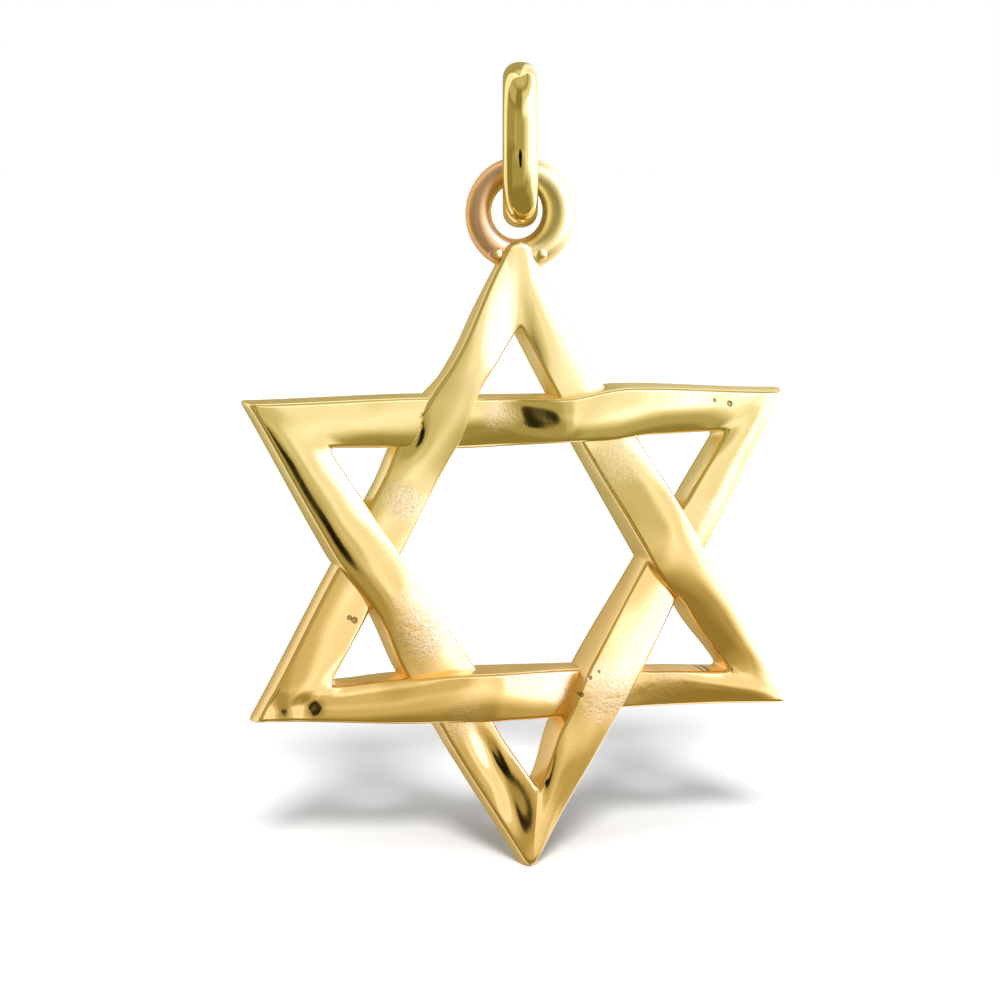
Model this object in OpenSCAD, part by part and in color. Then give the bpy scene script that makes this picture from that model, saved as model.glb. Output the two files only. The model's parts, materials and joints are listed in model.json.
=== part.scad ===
// Star of David pendant: a cast star of two interlaced triangles with a soldered ring, hanging on an oval bail.
// The origin is the seat of the chain, at the top of the bail's opening. The star faces -Y and up is +Z.

/* [Star] */
// Distance between the left and the right tips
star_w = 20.4; // [16:0.1:30]
// Width of each of the six bars
bar_w = 1.85; // [1.3:0.05:2.2]
// Thickness of the flat frame behind the raised faces
frame_t = 0.9; // [0.6:0.05:1.4]
// Height of a bar's side walls above the flat frame, at the tips
wall_h = 0.5; // [0.35:0.05:0.9]
// Height of a bar's crowned face above its side walls
crown_h = 0.3; // [0.1:0.05:0.5]
// Rise of a bar where it passes over another, and dip where it passes under
weave_h = 0.3; // [0.05:0.05:0.4]
// Lean of a side wall from its foot to its shoulder
wall_lean = 0.12; // [0.05:0.01:0.25]
// Rounding of the five free tips
tip_r = 0.15; // [0.1:0.05:0.5]
// Rounding of the tip that carries the ring
top_tip_r = 0.75; // [0.3:0.05:0.8]

/* [Hanging ring] */
// Thickness of the ring's wire
ring_wire = 1.05; // [0.8:0.05:1.4]
// Play of the bail's wire in the ring's hole, on each side
ring_play = 0.34; // [0.2:0.01:0.5]
// Metal left between the ring's hole and the rounded tip that is soldered over the ring
hole_margin = 0.1; // [0.05:0.01:0.4]
// Radius of the two beads of solder beside the tip
solder_r = 0.28; // [0.15:0.01:0.4]
// Angle of each bead from the ring's lowest point
solder_turn = 25; // [20:1:35]
// How far the ring's middle lies in front of the star's flat back
ring_set = 0.75; // [0.6:0.05:1]
// How far the star's middle lies to the right of the ring's
ring_shift = 0.12; // [0:0.01:0.3]

/* [Bail] */
// Thickness of the bail's wire
bail_wire = 1.25; // [0.8:0.05:1.5]
// Play of the ring's wire inside the bail, to the front and to the back
bail_play = 0.38; // [0.28:0.01:0.6]
// Room for a chain above the ring's wire
chain_room = 2.07; // [1.2:0.01:4]
// Running gap where the ring rests on the bail
link_gap = 0.22; // [0.1:0.01:0.3]
// Turn of the hanging bail about the vertical
bail_turn = -17; // [-20:1:20]

/* [Hidden] */
gold = [0.86, 0.7, 0.36];

// Distances from the star's middle to the outer and the inner edges of its bars, and to their centre lines
edge_out = star_w / (2 * sqrt(3));
edge_in = edge_out - bar_w;
edge_mid = edge_out - bar_w / 2;

// Half widths of a raised bar at its foot and at its shoulders, just inside the flat frame's edges
foot_step = 0.04;
foot_half = bar_w / 2 - foot_step;
face_half = foot_half - wall_lean;
// Depth to which a raised bar is rooted in the flat frame
root = frame_t / 2;
// Steps across a crowned face and along a bar
face_steps = 10;
bar_steps = 20;
// Steps around a rounded tip
tip_steps = 8;
// How square the crown is: 2 is a parabola, more is flatter in the middle
crown_power = 2.4;

// The ring's hole and the radius of its wire's centre line
hole_r = bail_wire / 2 + ring_play;
ring_r = hole_r + ring_wire / 2;

// The bail's centre line is two half circles joined by straight sides
end_r = (ring_wire + bail_wire) / 2 + bail_play;
bail_half_h = (ring_wire + link_gap + chain_room + bail_wire) / 2;
side_half = bail_half_h - end_r;

// Heights of the bail's middle, the ring's middle and the star's middle below the chain's seat
bail_z = -(bail_half_h - bail_wire / 2);
ring_z = bail_z - bail_half_h + bail_wire / 2 + link_gap - hole_r;
top_tip_reach = 2 * edge_out - top_tip_r;
star_z = ring_z - hole_r - hole_margin - top_tip_reach;

$fn = 64;

function polar(a, r) = [r * cos(a), r * sin(a)];
function tip_angle(k) = 90 + 60 * k;
function tip_round(k) = k % 6 == 0 ? top_tip_r : tip_r;
function tip_reach(k) = 2 * edge_out - tip_round(k);

// Outline of the flat frame: six rounded tips with a notch after each
function tip_arc(k) = [
    for (i = [0:tip_steps])
        polar(tip_angle(k), 2 * (edge_out - tip_round(k)))
            + polar(tip_angle(k) - 60 + 120 * i / tip_steps, tip_round(k))
];
function notch(k) = polar(tip_angle(k) + 30, edge_out / cos(30));
frame_outline = [for (k = [0:5]) each concat(tip_arc(k), [notch(k)])];

// The hexagon in the middle, and the small triangle inside a tip
hexagon = [for (k = [0:5]) polar(tip_angle(k) + 30, edge_in / cos(30))];
function window(k) = let (
    side = (2 * edge_in - edge_out) * tan(30),
    foot = polar(tip_angle(k), edge_out)
) [
    polar(tip_angle(k), 2 * edge_in),
    foot + polar(tip_angle(k) + 90, side),
    foot + polar(tip_angle(k) - 90, side)
];

module flat_frame() {
    linear_extrude(frame_t)
        difference() {
            polygon(frame_outline);
            polygon(hexagon);
            for (k = [0:5])
                polygon(window(k));
        }
}

// Section of a raised bar, as [offset from the centre line, height, share of the weave's rise]
function crown(s) = crown_h * (1 - pow(abs(s) / face_half, crown_power));
bar_section = [
    [-foot_half, frame_t - root, 0],
    for (i = [0:face_steps])
        let (s = face_half * sin(90 * (2 * i / face_steps - 1)))
            [s, frame_t + wall_h + crown(s), 1],
    [foot_half, frame_t - root, 0]
];

// Place on the line that runs at one offset along the bar from tip k to tip k + 2, at share t of its length
function lane_corner(k, s) = polar(tip_angle(k), 2 * (edge_mid + s));
function clipped_corner(k, s) = polar(tip_angle(k), min(2 * (edge_mid + s), tip_reach(k)));
function lane(k, s, t) = t == 0
    ? clipped_corner(k, s)
    : lane_corner(k, s) * (1 - t) + lane_corner(k + 2, s) * t;

// A bar runs level over the first bar that it meets and level under the second
function ease(x) = let (c = max(0, min(1, x))) c * c * (3 - 2 * c);
function weave(t) = weave_h * (ease(t / 0.2) - 2 * ease((t - 0.43) / 0.14) + ease((t - 0.8) / 0.2));

// One triangle: the bar's section carried round three mitred corners
module woven_triangle(first_tip) {
    n = len(bar_section);
    rings = 3 * bar_steps;
    points = [
        for (j = [0:2], i = [0:bar_steps - 1], p = bar_section)
            let (t = i / bar_steps, spot = lane(first_tip + 2 * j, p[0], t))
                [spot[0], spot[1], p[1] + p[2] * weave(t)]
    ];
    faces = [
        for (r = [0:rings - 1], i = [0:n - 1])
            let (q = (r + 1) % rings, m = (i + 1) % n)
                each [
                    [r * n + i, q * n + m, r * n + m],
                    [r * n + i, q * n + i, q * n + m]
                ]
    ];
    polyhedron(points, faces);
}

module hanging_ring() {
    rotate([90, 0, 0])
        rotate_extrude()
            translate([ring_r, 0])
                circle(d = ring_wire);
}

// Beads of solder in the two corners between the ring and the edges of the tip
module solder_beads() {
    for (side = [-1, 1])
        rotate([0, side * solder_turn, 0])
            translate([0, 0, -(ring_r + ring_wire / 2 - solder_r / 2)])
                sphere(r = solder_r, $fn = 32);
}

module star() {
    color(gold) {
        translate([ring_shift, ring_set, star_z])
            rotate([90, 0, 0]) {
                flat_frame();
                woven_triangle(0);
                woven_triangle(1);
            }
        translate([0, 0, ring_z]) {
            hanging_ring();
            solder_beads();
        }
    }
}

// The upper half of the bail's link, in its own plane, down to the middle of its straight sides
module half_link() {
    translate([0, side_half, 0])
        rotate_extrude(angle = 180)
            translate([end_r, 0])
                circle(d = bail_wire);
    for (side = [-1, 1])
        translate([side * end_r, 0, 0])
            rotate([-90, 0, 0])
                cylinder(d = bail_wire, h = side_half);
}

module bail() {
    color(gold)
        translate([0, 0, bail_z])
            rotate([0, 0, bail_turn])
                rotate([90, 0, 90]) {
                    half_link();
                    rotate([0, 0, 180])
                        half_link();
                }
}

star();
bail();
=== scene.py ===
"""Star of David pendant in cast yellow gold: a woven star with a soldered ring, and an oval bail."""
import json

import bpy
import numpy as np
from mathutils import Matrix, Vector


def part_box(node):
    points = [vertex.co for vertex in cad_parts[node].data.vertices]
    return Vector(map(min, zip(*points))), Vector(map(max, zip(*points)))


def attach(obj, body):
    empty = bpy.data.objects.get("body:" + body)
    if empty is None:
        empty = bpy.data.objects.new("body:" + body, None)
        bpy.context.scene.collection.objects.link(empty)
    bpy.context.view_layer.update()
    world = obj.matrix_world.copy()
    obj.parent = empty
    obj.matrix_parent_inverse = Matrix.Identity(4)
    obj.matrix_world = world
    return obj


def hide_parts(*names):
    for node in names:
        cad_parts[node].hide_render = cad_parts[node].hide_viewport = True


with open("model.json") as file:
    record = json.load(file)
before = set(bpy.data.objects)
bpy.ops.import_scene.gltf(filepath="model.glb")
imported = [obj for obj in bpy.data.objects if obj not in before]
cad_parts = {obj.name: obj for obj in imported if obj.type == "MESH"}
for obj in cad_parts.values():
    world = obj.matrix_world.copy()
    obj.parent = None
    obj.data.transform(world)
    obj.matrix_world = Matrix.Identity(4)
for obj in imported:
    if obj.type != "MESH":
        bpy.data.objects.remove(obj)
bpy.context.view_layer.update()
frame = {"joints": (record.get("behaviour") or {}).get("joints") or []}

MM = 0.001


def box_mm(node):
    """Lowest and highest corner of a solid, in millimetres."""
    return [np.array(corner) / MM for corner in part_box(node)]


star_low, star_high = box_mm("star")
bail_low, bail_high = box_mm("bail")
swing = frame["joints"][0]

# Lengths are in millimetres. Angles are in degrees, or in radians where np.radians or np.arctan2 makes them.

# Middle of the star, plane of its flat back, and how far the solid's bottom tip lies below that middle
FOOT_REACH = 11.628
STAR_X = (star_low[0] + star_high[0]) / 2
STAR_Z = star_low[2] + FOOT_REACH
BACK_Y = star_high[1]

# Hanging ring: its wire, its centre line's radius, how unevenly thick its wire is, and where it is thickest
RING_WIRE = 1.05
RING_R = 1.49
RING_UNEVEN = 0.075
RING_THICK_AT = np.radians(-35)
# The swing's pivot is the middle of the ring's wire, at the ring's top
RING_Z = swing["pos_m"][2] / MM - RING_R
RING_AROUND = 160
RING_ACROSS = 64

# Beads of solder beside the tip. Columns: x, y, z in the frame, radius
BEADS = ((-1.0, -0.33, -5.5, 0.3), (0.62, -0.33, -5.48, 0.3))
BEAD_AROUND = 32
BEAD_ROWS = 15

# Bail: its wire, its turn about the vertical, its middle, and its centre line's half depth and half height
BAIL_WIRE = 1.25
BAIL_TURN = np.arctan2(swing["axis"][1], swing["axis"][0])
BAIL_Z = (bail_low[2] + bail_high[2]) / 2
BAIL_HALF_D = (bail_high[1] - bail_low[1] - BAIL_WIRE) / 2 / np.cos(BAIL_TURN)
BAIL_HALF_H = (bail_high[2] - bail_low[2] - BAIL_WIRE) / 2
# How square its oval and its wire's section are: 2 is round, more is squarer
BAIL_POWER = 2.3
BAIL_SECTION_POWER = 2.25
BAIL_AROUND = 256
BAIL_ACROSS = 72
# Low hump left by the polishing in the middle of the bail's outside: its height, place and reach
HUMP = 0.03
HUMP_AT = -0.15
HUMP_REACH = 0.5

# Star: its flat frame, and the lift of the bars' crests above it where the weave's height is 0
FRAME_T = 0.9
FACE_LIFT = 0.12
# A bar's section: lean of its walls, and rounding of its shoulders and of its back edges
WALL_LEAN = 0.07
SHOULDER_R = 0.14
BACK_R = 0.06
# How square a face's crown is, and how softly two crowns meet at a tip, in half widths
CROWN_POWER = 2.1
TIP_BLEND = 0.9
# Share of a bar's length over which its own crown grows from its tip's
TIP_CROWN_REACH = 0.13
# Where a crown that changes along its bar does so, and over which share of its length
CROWN_CHANGE_FROM = 0.35
CROWN_CHANGE_OVER = 0.3
# Where the last rise of the weave starts, along a bar from its middle
LAST_RISE_FROM = 4

# Tips are numbered counterclockwise from the top. Each has a rounding, a height and a crown of its own,
# and WINDOW_R is the rounding of the corner inside each
TOP_ANGLE = 90
TIP_ANGLE = 60
TIP_RADII = (0.56, 0.1, 0.1, 0.26, 0.06, 0.06)
TIP_HEIGHTS = (0.1, 0.12, 0.15, 0.25, 0.3, 0.3)
TIP_CROWNS = (0.03, 0.12, 0.12, 0.05, 0.12, 0.12)
WINDOW_R = 0.12
# How blunt a rounded corner is, where a third is a parabola and 1 is a straight cut, and its reach in radii
ROUND = 1 / 3
TOP_BLUNT = 0.8
CORNER_REACH = 2.31

# Lift of the top tip where it lies over the ring's wire, from one height above the star's middle to another
TOP_LIFT = 0.27
TOP_LIFT_FROM = 5.5
TOP_LIFT_TO = 10.8
# Tilt of the bottom tip's face to the left, about which x, from one height to another
FOOT_TILT = 0.04
FOOT_TILT_X = -0.3
FOOT_TILT_FROM = -5.5
FOOT_TILT_TO = -8.0

# Steps along a bar, points across its face, and turns and shares up its side where its section has a point
BAR_STEPS = 150
FACE_POINTS = 31
BACK_TURNS = (0, 30, 60, 90)
WALL_SHARES = (0.2, 0.4, 0.6, 0.8, 0.9)
SHOULDER_TURNS = (0, 15, 30, 45, 60, 75)
# How far the second triangle's back is set in, so that the two backs don't share a plane
BACK_STEP = 0.006
# An edge sharper than this isn't smoothed
SHARP_ANGLE = np.radians(35)

# Slight waves that hand polishing leaves. Columns: height, radians per millimetre along x and y, phase
WAVES = (
    (0.006, 1.9, 0.7, 0.4),
    (0.004, -1.1, 2.3, 1.7),
    (0.002, 3.4, -1.6, 2.9),
    (0.001, 2.2, 4.4, 5.1),
)

# Small dents and grooves of the finishing, for each triangle.
# Columns: x, y from the star's middle, radius along and across, turn, depth
DENTS_UP = (
    (-9.15, -5.26, 0.5, 0.5, 0, 0.165),
    (-8.15, -5.2, 0.46, 0.42, 0, 0.145),
    (-4.6, 4.3, 0.6, 0.56, 60, 0.21),
)
DENTS_DOWN = (
    (4.22, 0.38, 0.8, 0.28, 90, 0.08),
    (4.0, 3.4, 0.5, 0.5, 0, 0.05),
    (2.6, 3.7, 0.4, 0.4, 0, 0.04),
    (-1.4, -7.1, 1.1, 0.36, -64, 0.16),
    (-0.52, -9.05, 1.0, 0.44, -72, 0.115),
    (0.05, 4.9, 1.2, 0.38, -25, 0.04),
)

# Shares of a bar's length at which its edges' distances and its lean are given
OUTER_SHARES = (0, 0.31, 0.44, 0.56, 0.69, 1)
INNER_SHARES = (0, 0.18, 0.33, 0.67, 0.82, 1)
LEAN_SHARES = (0, 0.12, 0.4, 0.6, 0.85, 1)


def turned(angle):
    """Unit vector at an angle: (cos a, sin a)."""
    a = np.radians(angle)
    return np.array([np.cos(a), np.sin(a)])


def smooth_max(a, b, width):
    """The greater of a and b, rounded over a width w: max(a, b) + w k^2 / 4.

    k = max(0, 1 - |a - b| / w).
    """
    k = np.maximum(0, 1 - np.abs(a - b) / width)
    return np.maximum(a, b) + width * k * k / 4


def smooth_step(x):
    """0 below 0, 1 above 1, and x^2 (3 - 2 x) between."""
    x = np.clip(x, 0, 1)
    return x * x * (3 - 2 * x)


def steps_through(shares, values, t):
    """Curve through values at shares of t: from each value to the next by a smooth step."""
    total = np.full(np.shape(t), float(values[0]))
    for k in range(len(values) - 1):
        total += (values[k + 1] - values[k]) * smooth_step((t - shares[k]) / (shares[k + 1] - shares[k]))
    return total


class Bar:
    """One filed bar, which runs from its own tip to the next but one.

    outer and inner are its edges' distances from the star's middle, at shares of its length t.
    lean is the fall of its face towards the outer edge, per millimetre across.
    crown is its crown's height on the inner and the outer half, and crown_after the same past its middle.
    weave is the place along the bar and the height of its peak over a crossing, then of its next dip.
    undercut is how far the foot of its outer wall is set in under the shoulder.
    """

    def __init__(
        self, tip, outer, inner, lean, crown, weave,
        outer_shares=OUTER_SHARES, crown_after=None, undercut=(0, 0), undercut_shares=(0, 1),
    ):
        self.tip = tip
        self.normal = turned(TOP_ANGLE + TIP_ANGLE * (tip + 1))
        self.along = np.array([-self.normal[1], self.normal[0]])
        self.outer = outer
        self.outer_shares = outer_shares
        self.inner = inner
        self.lean = lean
        self.crown = (crown, crown_after or crown)
        self.peak_at, self.peak, self.dip_at, self.dip = weave
        self.undercut = undercut
        self.undercut_shares = undercut_shares

    def outer_at(self, t):
        """Distance of the outer edge at share t of the bar's length."""
        return steps_through(self.outer_shares, self.outer, t)

    def inner_at(self, t):
        """Distance of the inner edge at share t of the bar's length."""
        return steps_through(INNER_SHARES, self.inner, t)

    def middle(self, t):
        """Distance of the bar's middle line: the mean of its edges'."""
        return (self.outer_at(t) + self.inner_at(t)) / 2

    def half(self, t):
        """Half the bar's width: half the difference of its edges' distances."""
        return (self.outer_at(t) - self.inner_at(t)) / 2

    def lean_at(self, t):
        """Fall of the face towards the outer edge, per millimetre across."""
        return steps_through(LEAN_SHARES, self.lean, t)

    def crown_at(self, t, side):
        """Height of the crown on the inner (0) or the outer (1) half, changing near the bar's middle."""
        before, after = self.crown[0][side], self.crown[1][side]
        return before + (after - before) * smooth_step((t - CROWN_CHANGE_FROM) / CROWN_CHANGE_OVER)

    def undercut_at(self, t):
        """How far the outer wall's foot is set in under its shoulder."""
        return steps_through(self.undercut_shares, self.undercut, t)


LEFT_STEEP = Bar(
    tip=0,
    outer=(6.40, 6.20, 5.92, 6.00, 6.14, 5.96, 5.88, 5.77),
    outer_shares=(0, 0.08, 0.28, 0.36, 0.44, 0.54, 0.69, 1),
    inner=(4.24, 4.40, 4.07, 3.92, 3.93, 3.95),
    lean=(0, 0, 0, 0, 0, 0),
    crown=(0.07, 0.07),
    weave=(-4.9, 0.5, 0.2, -0.02),
    undercut=(0.33, 0.33, 0.25, 0.2, 0, 0),
    undercut_shares=(0, 0.1, 0.2, 0.3, 0.38, 1),
)
FOOT = Bar(
    tip=2,
    outer=(5.75, 6.00, 6.04, 6.06, 5.86, 5.92),
    inner=(4.38, 4.22, 4.12, 4.19, 4.38, 4.50),
    lean=(0, 0.12, 0.12, 0, 0.3, 0),
    crown=(0.14, 0.12),
    weave=(-1.5, 0.8, 2.4, 0.2),
)
RIGHT_STEEP = Bar(
    tip=4,
    outer=(5.82, 5.74, 5.74, 5.71, 5.56, 5.60, 5.86),
    outer_shares=(0, 0.31, 0.44, 0.56, 0.69, 0.92, 1),
    inner=(4.36, 4.05, 3.65, 3.63, 3.71, 3.78),
    lean=(0, -0.12, -0.1, 0, 0.14, 0),
    crown=(0.05, 0.16),
    weave=(-2.4, 0.92, 2.4, 0.28),
    undercut=(0, 0, 0.33),
    undercut_shares=(0, 0.93, 1),
)
LEFT_FALL = Bar(
    tip=1,
    outer=(6.02, 6.13, 5.86, 6.06, 5.88, 5.70),
    inner=(4.18, 4.08, 3.96, 3.58, 3.98, 3.88),
    lean=(0, 0, 0, 0, 0.04, 0.12),
    crown=(0.1, 0.22),
    crown_after=(0.14, 0.07),
    weave=(-1.8, 0.6, 3.4, 0.12),
)
RIGHT_FALL = Bar(
    tip=3,
    outer=(6.06, 5.94, 5.96, 5.94, 6.00, 5.76),
    inner=(4.56, 4.10, 3.86, 4.02, 4.28, 4.36),
    lean=(0.12, 0.24, 0.08, 0, 0, 0),
    crown=(0.03, 0.14),
    weave=(-2.6, 0.8, 2.6, 0.28),
)
TOP = Bar(
    tip=5,
    outer=(5.70, 5.96, 5.64, 5.66, 5.74, 5.63),
    inner=(4.15, 4.08, 3.92, 3.75, 3.84, 3.89),
    lean=(0, -0.08, -0.06, -0.2, -0.05, 0),
    crown=(0.14, 0.14),
    weave=(-1.7, 0.8, 1.2, 0.15),
)
TRIANGLE_UP = (LEFT_STEEP, FOOT, RIGHT_STEEP)
TRIANGLE_DOWN = (LEFT_FALL, RIGHT_FALL, TOP)


def weave(along, first, last, first_height, last_height, bar):
    """Height of a bar's crest, from a tip up over a crossing, down under the next, and on to a tip.

    T0 + (P - T0) e(x) + (D - P) e(y) + (T1 - D) e(z), with e the smooth step. x, y and z are the shares of
    the way from the first tip to the peak, on to the dip, and from the last rise's start to the last tip.
    """
    rise = smooth_step((along - first) / (bar.peak_at - first))
    fall = smooth_step((along - bar.peak_at) / (bar.dip_at - bar.peak_at))
    level = smooth_step((along - LAST_RISE_FROM) / (last - LAST_RISE_FROM))
    return (
        first_height
        + (bar.peak - first_height) * rise
        + (bar.dip - bar.peak) * fall
        + (last_height - bar.dip) * level
    )


def waviness(x, y):
    """Height of the polishing's waves: the sum of a sin(p x + q y + s) over the rows of WAVES."""
    return sum(height * np.sin(p * x + q * y + phase) for height, p, q, phase in WAVES)


def dents(x, y, rows):
    """Depth of the small dents: the sum of d exp(-(u / ru)^2 - (v / rv)^2).

    u and v are the offsets from a dent's middle, along it and across it.
    """
    depth = 0
    for px, py, long_r, wide_r, turn, deep in rows:
        way = turned(turn)
        u = (x - px) * way[0] + (y - py) * way[1]
        v = (y - py) * way[0] - (x - px) * way[1]
        depth = depth + deep * np.exp(-((u / long_r) ** 2) - (v / wide_r) ** 2)
    return depth


def tip_lifts(x, y):
    """Lift of the top tip over the ring, and tilt of the bottom tip: L e(u) + k (x - x0) e(v).

    e is the smooth step, and u and v are the shares of the way up the top tip and down the bottom one.
    """
    high = smooth_step((y - TOP_LIFT_FROM) / (TOP_LIFT_TO - TOP_LIFT_FROM))
    low = smooth_step((y - FOOT_TILT_FROM) / (FOOT_TILT_TO - FOOT_TILT_FROM))
    return TOP_LIFT * high + FOOT_TILT * (x - FOOT_TILT_X) * low


def crown_drop(bars, j, spot, t):
    """How far the face of bar j falls below its crest: c |m|^p.

    m is the offset from the bar's middle line in half widths, or by a smooth maximum that from the middle
    line of the bar round the nearer tip. c goes from the tip's crown to the bar's own by smooth steps.
    """
    bar = bars[j]
    before = bars[j - 1]
    after = bars[(j + 1) % 3]
    m = (spot @ bar.normal - bar.middle(t)[:, None]) / (bar.half(t)[:, None] - WALL_LEAN)
    m_before = (spot @ before.normal - before.middle(1.0)) / (before.half(1.0) - WALL_LEAN)
    m_after = (spot @ after.normal - after.middle(0.0)) / (after.half(0.0) - WALL_LEAN)
    first_half = t[:, None] < 0.5
    m = smooth_max(m, np.where(first_half, m_before, m_after), TIP_BLEND)
    own = np.where(m < 0, bar.crown_at(t, 0)[:, None], bar.crown_at(t, 1)[:, None])
    tip = np.where(first_half, TIP_CROWNS[bar.tip], TIP_CROWNS[after.tip])
    share = (smooth_step(t / TIP_CROWN_REACH) * smooth_step((1 - t) / TIP_CROWN_REACH))[:, None]
    return (tip + (own - tip) * share) * np.abs(m) ** CROWN_POWER


def crossing(n1, d1, n2, d2):
    """Point on both lines n1 . p = d1 and n2 . p = d2."""
    return np.linalg.solve(np.array([n1, n2]), np.array([d1, d2]))


def rounded_lane(bars, edge, radii, blunt, t):
    """Closed lane round a triangle, as points for each bar and each t, and its three sharp corners.

    A point lies at normal * distance(t) + along * (s0 (1 - t) + s1 t), where s0 and s1 are the corners'
    places along the bar. Each corner is rounded by the curve C + ((1 - w)^3 + 3 q w (1 - w)^2) (A - C)
    + (w^3 + 3 q w^2 (1 - w)) (B - C), from A before the corner C to B after it. q says how blunt it is.
    """
    count = len(bars)
    ends = [(float(edge(bar, 0.0)), float(edge(bar, 1.0))) for bar in bars]
    corners = [crossing(bars[j - 1].normal, ends[j - 1][1], bars[j].normal, ends[j][0]) for j in range(count)]

    def straight(j, s):
        j %= count
        bar = bars[j]
        s = np.asarray(s, float)
        place = (corners[j] @ bar.along) * (1 - s) + (corners[(j + 1) % count] @ bar.along) * s
        return edge(bar, s)[:, None] * bar.normal + place[:, None] * bar.along

    runs = []
    for j in range(count):
        run = straight(j, t)
        length = np.linalg.norm(corners[(j + 1) % count] - corners[j])
        for corner, at_start in ((j, True), ((j + 1) % count, False)):
            reach = CORNER_REACH * radii[corner] / length
            before = straight(corner - 1, [1 - reach])
            after = straight(corner, [reach])
            w = 0.5 + t / (2 * reach) if at_start else 0.5 - (1 - t) / (2 * reach)
            near = (w < 1) if at_start else (w > 0)
            w = np.clip(w, 0, 1)[:, None]
            q = blunt[corner]
            to_before = (1 - w) ** 3 + 3 * q * w * (1 - w) ** 2
            to_after = w ** 3 + 3 * q * w * w * (1 - w)
            middle = corners[corner]
            curve = middle + to_before * (before - middle) + to_after * (after - middle)
            run = np.where(near[:, None], curve, run)
        runs.append(run)
    return np.array(runs), np.array(corners)


def section_columns():
    """The bar's section, column by column round it, as share across, inset, share of height and extra height.

    A column lies at share * (half - inset) from the bar's middle, at height * (face - shoulder) + extra.
    It goes up the inner wall, over the rounded shoulder, across the crowned face, and down the outer wall.
    A wall's inset is lean * q^3 at share q of its height, and the roundings are quarter circles.
    """
    face_inset = WALL_LEAN + SHOULDER_R
    back = [(1, BACK_R * (1 - np.sin(a)), 0, BACK_R * (1 - np.cos(a))) for a in np.radians(BACK_TURNS)]
    wall = [(1, WALL_LEAN * q ** 3, q, BACK_R * (1 - q)) for q in WALL_SHARES]
    shoulder = [
        (1, WALL_LEAN + SHOULDER_R * (1 - np.cos(a)), 1, SHOULDER_R * np.sin(a))
        for a in np.radians(SHOULDER_TURNS)
    ]
    edge = [(1, face_inset, 1, SHOULDER_R)]
    outer = np.array(edge + (back + wall + shoulder)[::-1])
    inner = outer[::-1] * [-1, 1, 1, 1]
    across = np.sin(np.linspace(-np.pi / 2, np.pi / 2, FACE_POINTS)[1:-1])
    face = np.column_stack([across, np.tile([face_inset, 1, SHOULDER_R], (len(across), 1))])
    return np.vstack([inner, face, outer])


def tube_faces(rings, columns):
    """Quads of a closed grid that wraps both ways: corners (i, j), (i, j + 1), (i + 1, j + 1), (i + 1, j)."""
    i = np.arange(rings)[:, None]
    j = np.arange(columns)[None, :]
    i_next = (i + 1) % rings
    j_next = (j + 1) % columns
    corners = [i * columns + j, i * columns + j_next, i_next * columns + j_next, i_next * columns + j]
    return np.stack([np.broadcast_to(c, (rings, columns)) for c in corners], -1).reshape(-1, 4)


def between(inner, outer, share):
    """Point between two lanes: inner (1 - a) / 2 + outer (1 + a) / 2, with a from -1 to 1 across."""
    return inner * (1 - share) / 2 + outer * (1 + share) / 2


def triangle_surface(bars, dent_rows, back_lift):
    """One woven triangle as points and quads, in the star's own plane with height towards the viewer.

    A point lies between the inner and the outer lane. Its face's height is
    frame + lift + weave - crown's drop + waves - dents - lean + the tips' lifts.
    """
    t = (1 - np.cos(np.pi * np.arange(BAR_STEPS) / BAR_STEPS)) / 2
    radii = [TIP_RADII[bar.tip] for bar in bars]
    blunt = [TOP_BLUNT if bar.tip == 0 else ROUND for bar in bars]
    outer, outer_corners = rounded_lane(bars, Bar.outer_at, radii, blunt, t)
    inner, inner_corners = rounded_lane(bars, Bar.inner_at, [WINDOW_R] * 3, [ROUND] * 3, t)
    share, inset, level, extra = section_columns().T
    columns = len(share)
    mitres = [between(a, b, share[:, None]) for a, b in zip(inner_corners, outer_corners)]
    points = np.zeros((3, BAR_STEPS, columns, 3))
    for j, bar in enumerate(bars):
        last = (j + 1) % 3
        half = bar.half(t)[:, None]
        cut = bar.undercut_at(t)[:, None] * (share == 1) * (1 - level)
        across = share * (half - inset - cut) / half
        spot = between(inner[j][:, None], outer[j][:, None], across[..., None])
        x, y = spot[..., 0], spot[..., 1]
        mitre_places = (mitres[j] @ bar.along, mitres[last] @ bar.along)
        tip_heights = (TIP_HEIGHTS[bar.tip], TIP_HEIGHTS[bars[last].tip])
        rise = weave(spot @ bar.along, *mitre_places, *tip_heights, bar) - crown_drop(bars, j, spot, t)
        waves = waviness(x, y) - dents(x, y, dent_rows)
        lean = bar.lean_at(t)[:, None] * (spot @ bar.normal - bar.middle(t)[:, None])
        face = FRAME_T + FACE_LIFT + rise + waves - lean + tip_lifts(x, y)
        points[j, ..., :2] = spot
        points[j, ..., 2] = level * (face - SHOULDER_R) + extra
    points[..., 2] = np.where(points[..., 2] < BACK_R, points[..., 2] + back_lift, points[..., 2])
    return points.reshape(-1, 3), tube_faces(3 * BAR_STEPS, columns)


def ring_surface():
    """Ring of round wire, thinner towards the upper left, as points and quads.

    The outer radius O is the same all round. The wire's half width is w = W / 2 + e cos(a - a0), its centre
    line's radius O - w, and a point is ((O - w + w cos b) cos a, (O - w + w cos b) sin a, w sin b).
    """
    a = np.linspace(0, 2 * np.pi, RING_AROUND, endpoint=False)[:, None]
    b = np.linspace(0, 2 * np.pi, RING_ACROSS, endpoint=False)[None, :]
    half = RING_WIRE / 2 + RING_UNEVEN * np.cos(a - RING_THICK_AT)
    reach = RING_R + RING_WIRE / 2 - half + half * np.cos(b)
    points = np.stack([reach * np.cos(a), reach * np.sin(a), half * np.sin(b)], -1)
    return points.reshape(-1, 3), tube_faces(RING_AROUND, RING_ACROSS)[:, ::-1]


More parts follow.
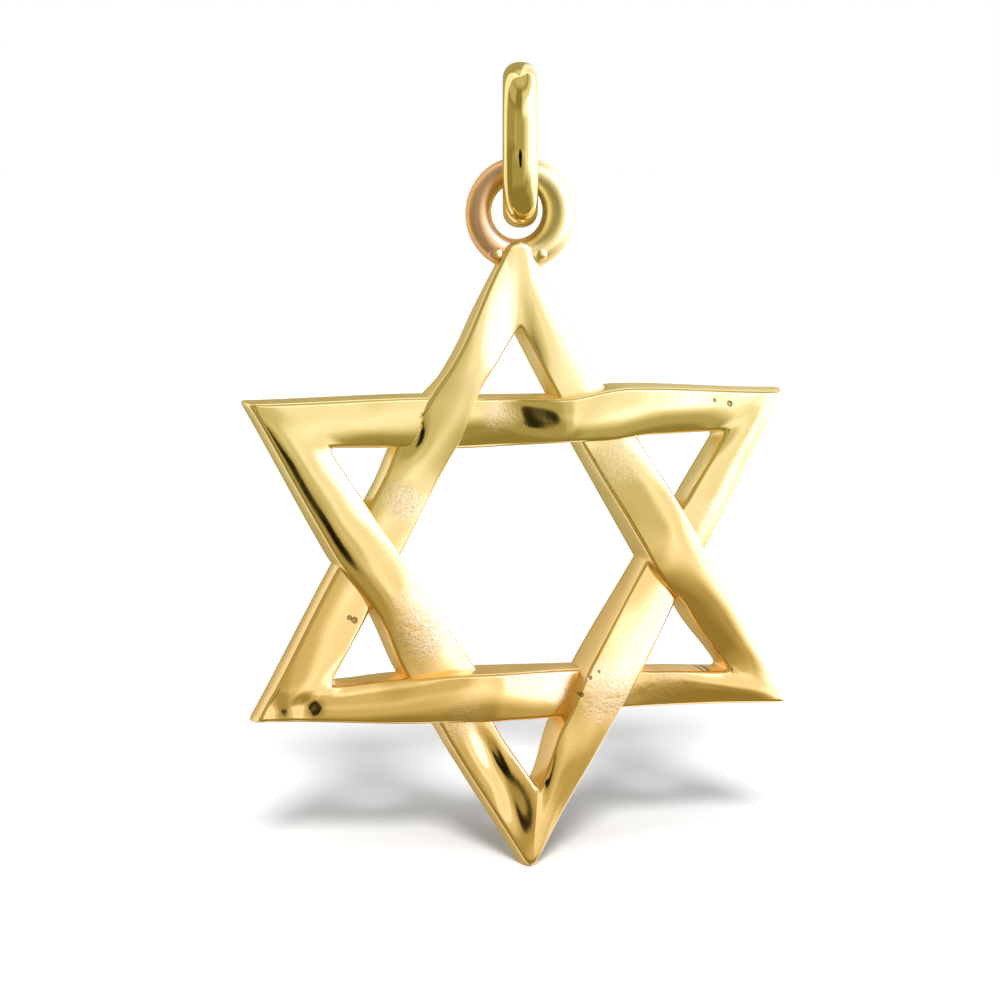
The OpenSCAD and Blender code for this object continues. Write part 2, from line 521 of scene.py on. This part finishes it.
def signed_power(x, power):
    """|x|^power with the sign of x."""
    return np.sign(x) * np.abs(x) ** power


def bail_surface():
    """Wire along an oval, as points and quads.

    The oval is |d / D|^n + |h / H|^n = 1, and the section |u / r|^m + |v / r|^m = 1.
    On the outside u is lifted by g exp(-((h - h0) / s)^2) u / r, a low hump.
    """
    a = np.linspace(0, 2 * np.pi, BAIL_AROUND, endpoint=False)
    d = BAIL_HALF_D * signed_power(np.cos(a), 2 / BAIL_POWER)
    h = BAIL_HALF_H * signed_power(np.sin(a), 2 / BAIL_POWER)
    path = np.column_stack([d, h])
    along = np.roll(path, -1, 0) - np.roll(path, 1, 0)
    along /= np.linalg.norm(along, axis=1, keepdims=True)
    out = np.column_stack([along[:, 1], -along[:, 0]])
    b = np.linspace(0, 2 * np.pi, BAIL_ACROSS, endpoint=False)
    u = signed_power(np.cos(b), 2 / BAIL_SECTION_POWER)
    v = signed_power(np.sin(b), 2 / BAIL_SECTION_POWER)
    hump = HUMP * np.exp(-((h - HUMP_AT) / HUMP_REACH) ** 2)[:, None] * np.maximum(u, 0)
    spot = path[:, None] + (BAIL_WIRE / 2 * u + hump)[..., None] * out[:, None]
    side = np.broadcast_to(BAIL_WIRE / 2 * v, spot.shape[:2])
    points = np.stack([spot[..., 0], spot[..., 1], side], -1)
    return points.reshape(-1, 3), tube_faces(BAIL_AROUND, BAIL_ACROSS)[:, ::-1]


def bead_surface(centre, radius):
    """Ball of solder: centre + r (sin b cos a, sin b sin a, cos b), with a fan of triangles at each pole."""
    a = np.linspace(0, 2 * np.pi, BEAD_AROUND, endpoint=False)
    b = np.linspace(0, np.pi, BEAD_ROWS + 2)[1:-1, None]
    grid = np.stack([np.sin(b) * np.cos(a), np.sin(b) * np.sin(a), np.cos(b) + 0 * a], -1).reshape(-1, 3)
    points = centre + radius * np.vstack([grid, [(0, 0, 1), (0, 0, -1)]])
    last = (BEAD_ROWS - 1) * BEAD_AROUND
    quads = tube_faces(BEAD_ROWS, BEAD_AROUND)[:last, ::-1]
    j = np.arange(BEAD_AROUND)
    j_next = (j + 1) % BEAD_AROUND
    top = np.column_stack([j, j_next, np.full(BEAD_AROUND, len(grid))])
    bottom = np.column_stack([last + j_next, last + j, np.full(BEAD_AROUND, len(grid) + 1)])
    return points, quads.tolist() + top.tolist() + bottom.tolist()


def star_to_frame(points):
    """From the star's plane, with height towards the viewer: (x + X, back - h, y + Z)."""
    x, y, h = points.T
    return np.column_stack([x + STAR_X, BACK_Y - h, y + STAR_Z])


def ring_to_frame(points):
    """From the ring's own plane, with height towards the viewer: (x, -h, y + Z)."""
    x, y, h = points.T
    return np.column_stack([x, -h, y + RING_Z])


def bail_to_frame(points):
    """From depth d, height h and side s: (s cos a - d sin a, s sin a + d cos a, h + Z), a the bail's turn."""
    depth, height, side = points.T
    c, s = np.cos(BAIL_TURN), np.sin(BAIL_TURN)
    return np.column_stack([side * c - depth * s, side * s + depth * c, height + BAIL_Z])


def make_mesh(name, points, faces):
    """Mesh object from an array of points in the frame, in millimetres, and its faces."""
    mesh = bpy.data.meshes.new(name)
    mesh.from_pydata((points * MM).tolist(), [], list(faces))
    mesh.update()
    piece = bpy.data.objects.new(name, mesh)
    bpy.context.scene.collection.objects.link(piece)
    return piece


def make_piece(name, surface, to_frame):
    """Mesh object from a surface in its own plane."""
    points, faces = surface
    return make_mesh(name, to_frame(points), faces)


def fuse(name, meshes):
    """Joins closed meshes into one body by boolean unions, and leaves one finished object."""
    body = meshes[0]
    body.name = name
    for other in meshes[1:]:
        union = body.modifiers.new("union", "BOOLEAN")
        union.operation = "UNION"
        union.solver = "EXACT"
        union.object = other
        bpy.context.view_layer.objects.active = body
        bpy.ops.object.modifier_apply(modifier=union.name)
        bpy.data.objects.remove(other)
    return body


def build_star():
    """The star's one body: two woven triangles, the soldered ring and two beads of solder, fused."""
    parts = [
        make_piece("star_up", triangle_surface(TRIANGLE_UP, DENTS_UP, 0.0), star_to_frame),
        make_piece("star_down", triangle_surface(TRIANGLE_DOWN, DENTS_DOWN, BACK_STEP), star_to_frame),
        make_piece("ring", ring_surface(), ring_to_frame),
    ]
    for x, y, z, radius in BEADS:
        parts.append(make_mesh("bead", *bead_surface((x, y, z), radius)))
    return fuse("star_body", parts)


def build_bail():
    """The bail's closed link."""
    return make_piece("bail_link", bail_surface(), bail_to_frame)


class Graph:
    """A node tree and short ways to add nodes to it."""

    def __init__(self, tree):
        self.tree = tree

    def put(self, socket, value):
        """Links a socket to another node's output, or sets its constant."""
        if isinstance(value, bpy.types.NodeSocket):
            self.tree.links.new(value, socket)
        else:
            socket.default_value = value

    def node(self, kind, **inputs):
        """Adds a node of a kind, with its inputs named with underscores for spaces."""
        made = self.tree.nodes.new(kind)
        for name, value in inputs.items():
            self.put(made.inputs[name.replace("_", " ")], value)
        return made

    def math(self, operation, *values):
        """A maths operation on one, two or three values."""
        made = self.tree.nodes.new("ShaderNodeMath")
        made.operation = operation
        for socket, value in zip(made.inputs, values):
            self.put(socket, value)
        return made.outputs[0]

    def times(self, first, second):
        """Product of two values."""
        return self.math("MULTIPLY", first, second)

    def plus(self, first, second):
        """Sum of two values."""
        return self.math("ADD", first, second)

    def smooth(self, value, start, end, low=0.0, high=1.0):
        """Smooth step of a value from start to end, onto low to high."""
        made = self.tree.nodes.new("ShaderNodeMapRange")
        made.interpolation_type = "SMOOTHSTEP"
        for name, number in (("From Min", start), ("From Max", end), ("To Min", low), ("To Max", high)):
            made.inputs[name].default_value = number
        self.put(made.inputs["Value"], value)
        return made.outputs["Result"]

    def band(self, value, start, end, soft):
        """1 between start and end, falling smoothly to 0 over a softness outside both."""
        return self.times(self.smooth(value, start - soft, start), self.smooth(value, end, end + soft, 1, 0))

    def distance(self, x, y, px, py):
        """Distance in a plane from a point: the square root of (x - px)^2 + (y - py)^2."""
        across = self.math("SUBTRACT", x, px)
        up = self.math("SUBTRACT", y, py)
        return self.math("SQRT", self.plus(self.times(across, across), self.times(up, up)))

    def noise(self, place, scale, detail, roughness):
        """Noise from 0 to 1 at a scale in cells per millimetre."""
        made = self.node("ShaderNodeTexNoise", Vector=place, Scale=scale, Detail=detail, Roughness=roughness)
        return made.outputs["Fac"]

    def mixed(self, share, first, second):
        """Colour from the first to the second by a share."""
        made = self.tree.nodes.new("ShaderNodeMix")
        made.data_type = "RGBA"
        first_input, second_input = [socket for socket in made.inputs if socket.type == "RGBA"]
        self.put(made.inputs["Factor"], share)
        self.put(first_input, first)
        self.put(second_input, second)
        return next(socket for socket in made.outputs if socket.type == "RGBA")


# Colours of the cast gold, of the painted warm light below, of what tints it, the ring's painted highlight
# and painted shade among them, and of its grain, with painted glints, and pits
OLIVE_GOLD = (0.93, 0.75, 0.31, 1)
PAINTED_WARM_LIGHT = (1.0, 0.69, 0.26, 1)
COPPERY_CLOUD = (1.0, 0.66, 0.34, 1)
ROSY_RING = (1.0, 0.62, 0.3, 1)
VIOLET_BAND = (0.78, 0.5, 0.45, 1)
PAINTED_HIGHLIGHT_RIM = (1.0, 0.86, 0.58, 1)
PAINTED_SHADE_RIM = (0.62, 0.54, 0.25, 1)
PINK_GRAIN = (1.0, 0.74, 0.5, 1)
PAINTED_GLINT = (1.0, 0.92, 0.72, 1)
DARK_SPECK = (0.5, 0.34, 0.15, 1)
BROWN_PIT = (0.16, 0.08, 0.02, 1)

# Heights over which olive turns warm by painted warm light, and how far clouds shift them
WARM_FROM = 4.5
WARM_TO = -1.0
WARM_SHIFT = 3.0

# Noise of the cast gold: cells per millimetre, detail, roughness
CLOUDS = (0.5, 3.0, 0.5)
MOTTLE = (1.3, 4.0, 0.5)
RAGGED = (2.6, 3.0, 0.5)
GRAINS = (11.0, 1.0, 0.5)
SATIN = (26.0, 2.0, 0.6)
# Where in its noise a patch of grain thins out, and where the clouds turn the polish duller
RAGGED_RANGE = (0.2, 0.5)
CLOUD_RANGE = (0.35, 0.7)
# Specks in the grain, the light ones painted glints: from where in its noise to where, and from which share
# of colour to which
PAINTED_GLINTS = (0.54, 0.64, 0.0, 0.34)
DARK_SPECKS = (0.46, 0.36, 0.0, 0.26)

# Tints of the ring: rosy on its left with a violet band, painted highlight round the left of its hole and
# painted shade round the right. Distances from its middle where all tints end, of the violet band on its
# left, of the painted highlight on its left and of the painted shade on its right, and the depth that the
# tints reach
TINT_END = (2.0, 2.15)
BAND_R = (1.7, 1.84)
BAND_SOFT = 0.08
PAINTED_HIGHLIGHT_R = (1.2, 1.45)
PAINTED_SHADE_R = (1.4, 1.62)
TINT_DEPTH = 0.54
TINT_DEPTH_SOFT = 0.06
# x over which the rosy side and the side with the painted shade set in
ROSY_X = (0.5, -0.7)
PAINTED_SHADE_X = (0.1, 0.6)

# Grainy as-cast patches near the crossings. Columns: x, y from the star's middle, radius, strength
GRAIN = (
    (-3.9, -2.6, 1.5, 1.0),
    (-4.5, 2.0, 1.0, 1.0),
    (3.3, 3.2, 1.2, 0.6),
    (1.2, -4.9, 0.9, 0.9),
    (2.9, -5.1, 1.6, 0.8),
    (-4.6, -1.6, 0.8, 0.6),
    (5.2, -5.0, 1.2, 0.5),
    (-2.4, -5.9, 1.0, 0.7),
    (6.6, 1.2, 0.9, 0.4),
    (-1.0, 4.9, 0.9, 0.8),
    (-3.3, -6.5, 1.1, 0.6),
)
# Share of a patch's radius at which it starts to fade
GRAIN_CORE = 0.35

# Pits in the same plane. Columns: x, y, radius
PITS = (
    (2.15, -4.49, 0.055),
    (1.83, -5.09, 0.07),
    (2.49, -4.28, 0.04),
    (-0.1, 4.62, 0.03),
    (7.6, 5.2, 0.08),
    (7.0, 5.35, 0.05),
    (-6.5, -2.08, 0.06),
    (-6.32, -2.18, 0.08),
    (6.7, -4.5, 0.05),
    (6.95, -4.5, 0.07),
)
# Where a pit's rim ends, in radii, and its depth
PIT_RIM = 1.7
PIT_DEPTH = 0.03

# The normal's y from the back to the walls, where grain and pits set in, and its size from a face to a wall
FRONT_NORMAL = (0.5, 0.2)
WALL_NORMAL = (0.6, 0.25)
# Roughness of the faces in clouds, and what walls, grain, the ring and the top tip above a height add
FACE_ROUGH = (0.085, 0.15)
WALL_ROUGH = 0.22
GRAIN_ROUGH = 0.16
RING_ROUGH = 0.13
TOP_ROUGH = 0.13
TOP_ROUGH_Y = (5.3, 6.3)
# Heights of the satin and of the grains, on the polished faces, and what a patch of grain adds to each
SATIN_RELIEF = 0.0006
SATIN_IN_GRAIN = 0.006
GRAIN_RELIEF = 0.0008
GRAIN_IN_GRAIN = 0.0065

# The bail's gold: two near colours. Noise: cells per millimetre, detail, roughness
WIRE_GOLD = (0.90, 0.74, 0.29, 1)
WIRE_DEEP_GOLD = (0.88, 0.69, 0.25, 1)
WIRE_CLOUD = (0.9, 3.0, 0.5)
WIRE_WAVES = (1.1, 2.0, 0.5)
SCRATCHES = (14.0, 3.0, 0.7)
# Stretch of the scratches along the wire, and where in their noise a scratch begins and is deepest
SCRATCH_STRETCH = (1, 1, 0.12)
SCRATCH_RANGE = (0.3, 0.8)
# Its roughness between scratches and in them, and heights of its waves and scratches
WIRE_ROUGH = (0.04, 0.11)
WIRE_WAVE = 0.012
SCRATCH_RELIEF = 0.0006


def new_material(name):
    """Plain metal: the material, its graph and shader, the texture coordinates, and the place in mm."""
    made = bpy.data.materials.new(name)
    made.use_nodes = True
    g = Graph(made.node_tree)
    shader = g.tree.nodes["Principled BSDF"]
    shader.inputs["Metallic"].default_value = 1
    coordinates = g.tree.nodes.new("ShaderNodeTexCoord")
    millimetres = g.tree.nodes.new("ShaderNodeVectorMath")
    millimetres.operation = "SCALE"
    g.put(millimetres.inputs[0], coordinates.outputs["Object"])
    millimetres.inputs["Scale"].default_value = 1 / MM
    return made, g, shader, coordinates, millimetres.outputs[0]


def set_relief(g, shader, height):
    """Bump on a shader from a height in millimetres."""
    bump = g.node("ShaderNodeBump", Strength=1.0, Distance=MM, Height=height)
    g.put(shader.inputs["Normal"], bump.outputs["Normal"])


def grain_mask(g, place, star_x, star_y):
    """Strength of the as-cast grain: the greatest of the fading round patches, ragged by noise."""
    grain = 0.0
    for px, py, radius, amount in GRAIN:
        off_patch = g.distance(star_x, star_y, px, py)
        grain = g.math("MAXIMUM", g.smooth(off_patch, radius * GRAIN_CORE, radius, amount, 0.0), grain)
    return g.times(grain, g.smooth(g.noise(place, *RAGGED), *RAGGED_RANGE))


def pit_mask(g, star_x, star_y):
    """1 in a pit, falling to 0 over its rim: the greatest over all pits."""
    pit = 0.0
    for px, py, radius in PITS:
        off_pit = g.distance(star_x, star_y, px, py)
        pit = g.math("MAXIMUM", g.smooth(off_pit, radius, radius * PIT_RIM, 1, 0), pit)
    return pit


def ring_tints(g, x, y, z):
    """Mask of the soldered ring, and its tints as (mask, share, colour), a painted highlight and painted
    shade among them.

    Each mask is the ring's own times a smooth step or a band of the distance from its middle, and of x.
    """
    off_ring = g.distance(x, z, 0.0, RING_Z)
    near_ring = g.smooth(off_ring, *TINT_END, 1.0, 0.0)
    on_ring = g.times(near_ring, g.band(y, -TINT_DEPTH, TINT_DEPTH, TINT_DEPTH_SOFT))
    rosy = g.times(on_ring, g.smooth(x, *ROSY_X))
    band = g.times(rosy, g.band(off_ring, *BAND_R, BAND_SOFT))
    # Painted highlight on the left of the ring's hole, and painted shade on its right
    painted_highlight = g.times(rosy, g.smooth(off_ring, *PAINTED_HIGHLIGHT_R, 1.0, 0.0))
    olive = g.times(g.times(on_ring, g.smooth(off_ring, *PAINTED_SHADE_R, 1.0, 0.0)), g.smooth(x, *PAINTED_SHADE_X))
    tints = [
        (rosy, 1.0, ROSY_RING),
        (band, 0.8, VIOLET_BAND),
        (painted_highlight, 0.8, PAINTED_HIGHLIGHT_RIM),
        (olive, 0.75, PAINTED_SHADE_RIM),
    ]
    return on_ring, tints


def cast_gold():
    """Polished cast gold: olive above and warmer below by painted warm light, a rosy tint on the ring with a
    painted highlight and painted shade, grain at the crossings with painted glints.

    Its colour is a chain of mixes, each by a mask times a share.
    Its roughness and its relief are sums of masks and noise times their amounts.
    """
    made, g, shader, coordinates, place = new_material("cast_gold")
    x, y, z = g.node("ShaderNodeSeparateXYZ", Vector=place).outputs
    star_x = g.math("SUBTRACT", x, STAR_X)
    star_y = g.math("SUBTRACT", z, STAR_Z)
    normal_y = g.node("ShaderNodeSeparateXYZ", Vector=coordinates.outputs["Normal"]).outputs["Y"]
    cloud = g.noise(place, *CLOUDS)
    satin = g.noise(place, *SATIN)
    grains = g.noise(place, *GRAINS)

    # Grain and pits show on the front and the walls, not on the plain back
    front = g.smooth(normal_y, *FRONT_NORMAL)
    grain = g.times(grain_mask(g, place, star_x, star_y), front)
    pit = g.times(pit_mask(g, star_x, star_y), front)
    on_ring, tints = ring_tints(g, x, y, z)

    # Tints from the first to the last. Columns: mask, share, colour
    # Painted warm light: the gold turns warmer towards the bottom
    painted_warm_mask = g.smooth(g.plus(star_y, g.times(cloud, WARM_SHIFT)), WARM_FROM, WARM_TO)
    tints = [
        (painted_warm_mask, 1.0, PAINTED_WARM_LIGHT),
        (g.noise(place, *MOTTLE), 0.2, COPPERY_CLOUD),
        *tints,
        (grain, 0.35, PINK_GRAIN),
        # The light specks are painted glints; the dark specks are darker dots in the grain
        (grain, g.smooth(grains, *PAINTED_GLINTS), PAINTED_GLINT),
        (grain, g.smooth(grains, *DARK_SPECKS), DARK_SPECK),
        (pit, 0.7, BROWN_PIT),
    ]
    colour = OLIVE_GOLD
    for mask, share, tint in tints:
        colour = g.mixed(g.times(mask, share), colour, tint)
    g.put(shader.inputs["Base Color"], colour)

    # Walls are left from the casting, faces are polished, the top tip less than the rest
    wall = g.smooth(g.math("ABSOLUTE", normal_y), *WALL_NORMAL)
    rough = g.plus(g.times(wall, WALL_ROUGH), g.times(grain, GRAIN_ROUGH))
    rough = g.plus(rough, g.smooth(cloud, *CLOUD_RANGE, *FACE_ROUGH))
    rough = g.plus(rough, g.times(on_ring, RING_ROUGH))
    rough = g.plus(rough, g.smooth(star_y, *TOP_ROUGH_Y, 0.0, TOP_ROUGH))
    g.put(shader.inputs["Roughness"], rough)

    # Fine satin everywhere, coarse grain in the patches, dents at the pits
    satin_height = g.math("MULTIPLY_ADD", grain, SATIN_IN_GRAIN, SATIN_RELIEF)
    grain_height = g.math("MULTIPLY_ADD", grain, GRAIN_IN_GRAIN, GRAIN_RELIEF)
    relief = g.plus(g.times(satin, satin_height), g.times(grains, grain_height))
    set_relief(g, shader, g.math("SUBTRACT", relief, g.times(pit, PIT_DEPTH)))
    return made


def polished_gold():
    """Bright drawn wire: slightly wavy from bending, with fine scratches along it.

    Its colour and roughness are mixed by noise, and its relief is wave and scratch noise times their heights.
    """
    made, g, shader, _, place = new_material("polished_gold")
    stretched = g.node("ShaderNodeMapping", Vector=place, Scale=SCRATCH_STRETCH)
    scratches = g.noise(stretched.outputs["Vector"], *SCRATCHES)
    cloud = g.noise(place, *WIRE_CLOUD)
    g.put(shader.inputs["Base Color"], g.mixed(cloud, WIRE_GOLD, WIRE_DEEP_GOLD))
    g.put(shader.inputs["Roughness"], g.smooth(scratches, *SCRATCH_RANGE, *WIRE_ROUGH))
    waves = g.times(g.noise(place, *WIRE_WAVES), WIRE_WAVE)
    set_relief(g, shader, g.plus(waves, g.times(scratches, SCRATCH_RELIEF)))
    return made


# Camera at the photograph's angle, 17 degrees to the star's left and 6 above: azimuth, elevation,
# distance, the point that it looks at, from the star's middle, and its lens in sensor widths
CAMERA_AZIMUTH = np.radians(-16.83)
CAMERA_ELEVATION = np.radians(6.0)
CAMERA_DISTANCE = 120
AIM_FROM_STAR = (-0.87, 0, 1.904)
LENS_SHARE = 3.36085
SENSOR = 36

# Floor at the bottom tip, below the star's middle, its size and its paper
FLOOR_BELOW_STAR = 11.442
FLOOR_SIZE = 3000
PAPER_WHITE = (0.9, 0.9, 0.9, 1)
PAPER_ROUGH = 0.9

# Soft cards round the studio, seen from the pendant. Azimuth 0 is in front of the star, 90 to its right.
# Columns: azimuth from, to, softness; elevation from, to, softness; brightness added
CARDS = (
    (118, 150, 10, -70, 89, 12, 0.80),
    (-146, -118, 10, -70, 89, 12, 0.75),
    (150, 181, 20, -70, 89, 12, 0.14),
    (-181, -146, 20, -70, 89, 12, 0.14),
    (-2, 112, 12, 30, 52, 12, 0.60),
    (-181, 181, 1, 72, 90, 14, 0.35),
    (-120, -50, 12, 42, 56, 10, 0.30),
    (-40, 8, 12, -8, 24, 12, 0.17),
    (-120, -42, 12, 8, 26, 10, 0.12),
    (-1, 10, 6, -24, 30, 12, 0.20),
    (16, 112, 12, -14, 30, 18, 0.70),
    (58, 112, 12, -24, 34, 14, 0.45),
    (30, 112, 15, -38, -18, 10, 0.20),
    (34, 84, 10, -10, 34, 12, 0.80),
    (-60, 10, 12, -34, -8, 8, 0.12),
)
ROOM_LIGHT = 0.3
# Powers of the light that its green and its blue are, which make what is dim warmer
GREEN_POWER = 1.12
BLUE_POWER = 1.9
# The camera's dark lens among the cards: azimuth, elevation, half width, half height, soft edge, light left
LENS_AZIMUTH = -17
LENS_ELEVATION = -11
LENS_HALF_W = 5.5
LENS_HALF_H = 9
LENS_EDGE = 0.25
LENS_LIGHT = 0.01
# Strength of the even light on the floor, and of the white behind everything
FILL_LIGHT = 0.12
BACKDROP_LIGHT = 1.0
WHITE = (1, 1, 1, 1)

# Soft key lights that cast the floor's shadow. Columns: azimuth, elevation, softness, strength
KEYS = ((-15, 29, 10, 3.7), (-28, 28, 60, 2.6), (10, 45, 60, 1.0))


def card_light(g, azimuth, elevation):
    """What the metal mirrors: the room's light plus each card's, times the dark lens.

    A card is a band of azimuth times a band of elevation. The lens is a smooth step of
    the square root of ((azimuth - a) / w)^2 + ((elevation - e) / h)^2.
    """
    light = ROOM_LIGHT
    for az_from, az_to, az_soft, el_from, el_to, el_soft, amount in CARDS:
        card = g.times(g.band(azimuth, az_from, az_to, az_soft), g.band(elevation, el_from, el_to, el_soft))
        light = g.math("MULTIPLY_ADD", card, amount, light)
    across = g.times(azimuth, 1 / LENS_HALF_W)
    up = g.times(elevation, 1 / LENS_HALF_H)
    off_lens = g.distance(across, up, LENS_AZIMUTH / LENS_HALF_W, LENS_ELEVATION / LENS_HALF_H)
    return g.times(light, g.smooth(off_lens, 1, 1 + LENS_EDGE, LENS_LIGHT, 1.0))


def studio_world():
    """Even light for the floor, softly bright and dark cards for what the metal mirrors, white behind."""
    world = bpy.data.worlds.new("studio")
    world.use_nodes = True
    g = Graph(world.node_tree)
    g.tree.nodes.clear()
    way = g.tree.nodes.new("ShaderNodeTexCoord").outputs["Generated"]
    x, y, z = g.node("ShaderNodeSeparateXYZ", Vector=way).outputs
    azimuth = g.math("DEGREES", g.math("ARCTAN2", x, g.times(y, -1)))
    elevation = g.math("DEGREES", g.math("ARCSINE", z))
    light = card_light(g, azimuth, elevation)
    green = g.math("POWER", light, GREEN_POWER)
    blue = g.math("POWER", light, BLUE_POWER)
    colour = g.node("ShaderNodeCombineColor", Red=light, Green=green, Blue=blue)
    cards = g.node("ShaderNodeBackground", Color=colour.outputs["Color"])
    plain = g.node("ShaderNodeBackground", Color=WHITE, Strength=FILL_LIGHT)
    backdrop = g.node("ShaderNodeBackground", Color=WHITE, Strength=BACKDROP_LIGHT)
    path = g.tree.nodes.new("ShaderNodeLightPath")
    surface = plain.outputs[0]
    for ray, shown in (("Is Glossy Ray", cards), ("Is Camera Ray", backdrop)):
        choice = g.tree.nodes.new("ShaderNodeMixShader")
        g.put(choice.inputs[0], path.outputs[ray])
        g.put(choice.inputs[1], surface)
        g.put(choice.inputs[2], shown.outputs[0])
        surface = choice.outputs[0]
    out = g.tree.nodes.new("ShaderNodeOutputWorld")
    g.put(out.inputs["Surface"], surface)
    return world


def key_light(azimuth, elevation, softness, strength):
    """Soft sun that shines from an azimuth and elevation, and doesn't show in the metal."""
    data = bpy.data.lights.new("key", "SUN")
    data.energy = strength
    data.angle = np.radians(softness)
    lamp = bpy.data.objects.new("key", data)
    bpy.context.scene.collection.objects.link(lamp)
    lamp.rotation_euler = (np.pi / 2 - np.radians(elevation), 0, np.radians(azimuth))
    lamp.visible_glossy = False


def set_camera():
    """Camera at the aim plus its distance times (sin a cos e, -cos a cos e, sin e), looking at the aim."""
    data = bpy.data.cameras.new("camera")
    data.sensor_width = SENSOR
    data.lens = SENSOR * LENS_SHARE
    data.clip_start = MM
    camera = bpy.data.objects.new("camera", data)
    bpy.context.scene.collection.objects.link(camera)
    flat = np.cos(CAMERA_ELEVATION)
    way = (np.sin(CAMERA_AZIMUTH) * flat, -np.cos(CAMERA_AZIMUTH) * flat, np.sin(CAMERA_ELEVATION))
    aim = np.array(AIM_FROM_STAR) + (STAR_X, 0, STAR_Z)
    camera.location = (aim + CAMERA_DISTANCE * np.array(way)) * MM
    camera.rotation_euler = (np.pi / 2 - CAMERA_ELEVATION, 0, CAMERA_AZIMUTH)
    bpy.context.scene.camera = camera


def lay_floor():
    """Plain white paper under the bottom tip: one wide quad."""
    square = np.array([(-1, -1, 0), (1, -1, 0), (1, 1, 0), (-1, 1, 0)])
    floor = make_mesh("floor", square * FLOOR_SIZE + (0, 0, STAR_Z - FLOOR_BELOW_STAR), [(0, 1, 2, 3)])
    floor.visible_glossy = False
    paper = bpy.data.materials.new("white_paper")
    paper.use_nodes = True
    shader = paper.node_tree.nodes["Principled BSDF"]
    shader.inputs["Base Color"].default_value = PAPER_WHITE
    shader.inputs["Roughness"].default_value = PAPER_ROUGH
    shader.inputs["Specular IOR Level"].default_value = 0.0
    floor.data.materials.append(paper)


star = build_star()
star.data.materials.append(cast_gold())
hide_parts("star")
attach(star, "star")

bail = build_bail()
bail.data.materials.append(polished_gold())
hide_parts("bail")
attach(bail, "bail")

for piece in (star, bail):
    piece.data.set_sharp_from_angle(angle=SHARP_ANGLE)

set_camera()
lay_floor()
bpy.context.scene.world = studio_world()
for key in KEYS:
    key_light(*key)
bpy.context.scene.view_settings.view_transform = "Standard"
